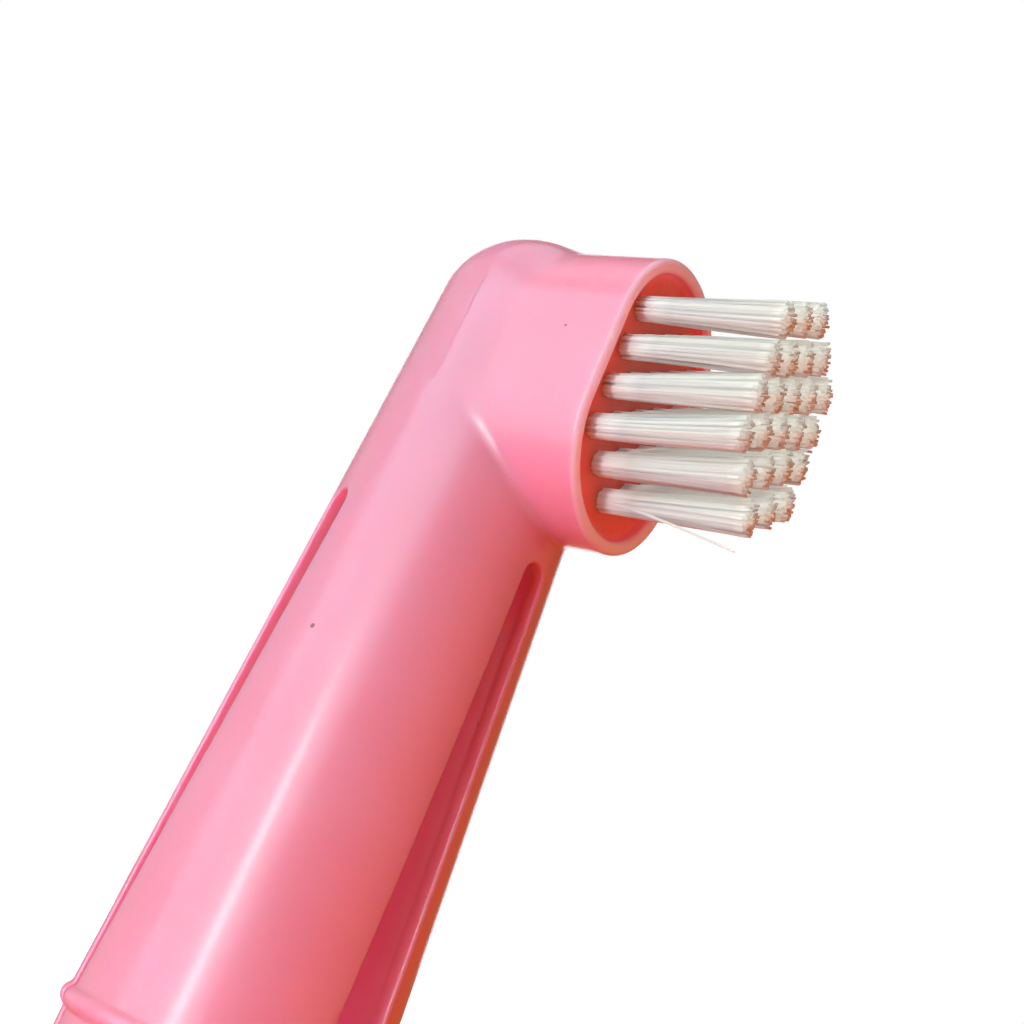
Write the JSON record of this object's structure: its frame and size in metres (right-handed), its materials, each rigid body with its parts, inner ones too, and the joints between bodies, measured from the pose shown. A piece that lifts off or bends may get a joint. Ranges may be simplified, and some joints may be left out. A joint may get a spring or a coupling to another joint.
{
  "type": "finger toothbrush",
  "caption": "Pet toothbrush worn on a fingertip: tapered, slotted plastic thimble with a domed tip and an oval head of staggered bristle tufts on one side.",
  "frame": {"origin": "middle of the sleeve's open end, in the plane of its bottom edge", "axes": "+Z along the sleeve from the open end to the domed tip, +X the way the bristles point; XZ is the plane of symmetry"},
  "size_m": [0.0298, 0.0192, 0.058],
  "materials": {
    "pink_plastic": "soft gloss, slightly translucent",
    "bristle_nylon": "warm white filaments with beige cut ends",
    "brass_wire": "plain drawn wire"
  },
  "bodies": {
    "root": {"finger_sleeve": "pink_plastic", "tuft_a1": "bristle_nylon", "tuft_a2": "bristle_nylon", "tuft_a3": "bristle_nylon", "tuft_a4": "bristle_nylon", "tuft_b1": "bristle_nylon", "tuft_b2": "bristle_nylon", "tuft_b3": "bristle_nylon", "tuft_b4": "bristle_nylon", "tuft_b5": "bristle_nylon", "tuft_c1": "bristle_nylon", "tuft_c2": "bristle_nylon", "tuft_c3": "bristle_nylon", "tuft_c4": "bristle_nylon", "tuft_c5": "bristle_nylon", "tuft_c6": "bristle_nylon", "tuft_d1": "bristle_nylon", "tuft_d2": "bristle_nylon", "tuft_d3": "bristle_nylon", "tuft_d4": "bristle_nylon", "tuft_d5": "bristle_nylon", "tuft_e1": "bristle_nylon", "tuft_e2": "bristle_nylon", "tuft_e3": "bristle_nylon", "tuft_e4": "bristle_nylon", "anchor_a1": "brass_wire", "anchor_a2": "brass_wire", "anchor_a3": "brass_wire", "anchor_a4": "brass_wire", "anchor_b1": "brass_wire", "anchor_b2": "brass_wire", "anchor_b3": "brass_wire", "anchor_b4": "brass_wire", "anchor_b5": "brass_wire", "anchor_c1": "brass_wire", "anchor_c2": "brass_wire", "anchor_c3": "brass_wire", "anchor_c4": "brass_wire", "anchor_c5": "brass_wire", "anchor_c6": "brass_wire", "anchor_d1": "brass_wire", "anchor_d2": "brass_wire", "anchor_d3": "brass_wire", "anchor_d4": "brass_wire", "anchor_d5": "brass_wire", "anchor_e1": "brass_wire", "anchor_e2": "brass_wire", "anchor_e3": "brass_wire", "anchor_e4": "brass_wire"}
  },
  "joints": []
}
